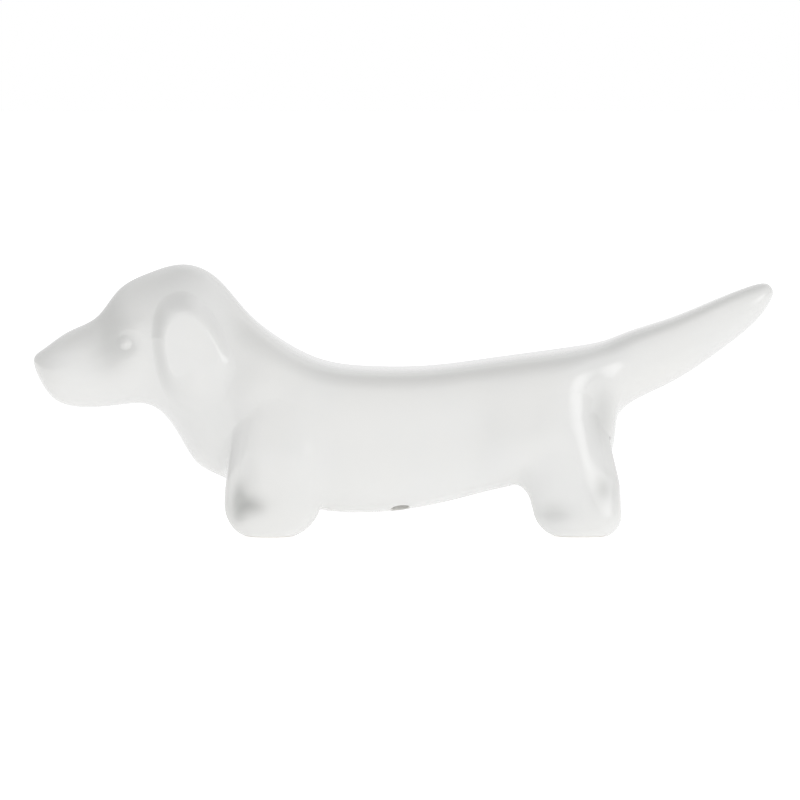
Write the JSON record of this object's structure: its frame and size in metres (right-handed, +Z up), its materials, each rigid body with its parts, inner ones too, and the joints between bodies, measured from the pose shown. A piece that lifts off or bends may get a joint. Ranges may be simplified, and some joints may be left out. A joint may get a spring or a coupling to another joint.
{
  "type": "cutlery rest",
  "caption": "Glazed porcelain cutlery rest shaped as a long, low dachshund; the dip of its back between nape and upturned tail holds a knife and fork off the table.",
  "frame": {"origin": "on the table plane, under the middle of the figure's length and width", "axes": "+X from the nose to the tip of the tail, +Y to the dog's right side, +Z up"},
  "size_m": [0.1, 0.0228, 0.0362],
  "materials": {
    "porcelain": "white porcelain under a clear gloss glaze, with bare ground soles"
  },
  "bodies": {
    "root": {"torso": "porcelain", "head": "porcelain", "tail": "porcelain", "left_ear": "porcelain", "right_ear": "porcelain", "left_eye": "porcelain", "right_eye": "porcelain", "front_left_leg": "porcelain", "front_right_leg": "porcelain", "hind_left_leg": "porcelain", "hind_right_leg": "porcelain"}
  },
  "joints": []
}
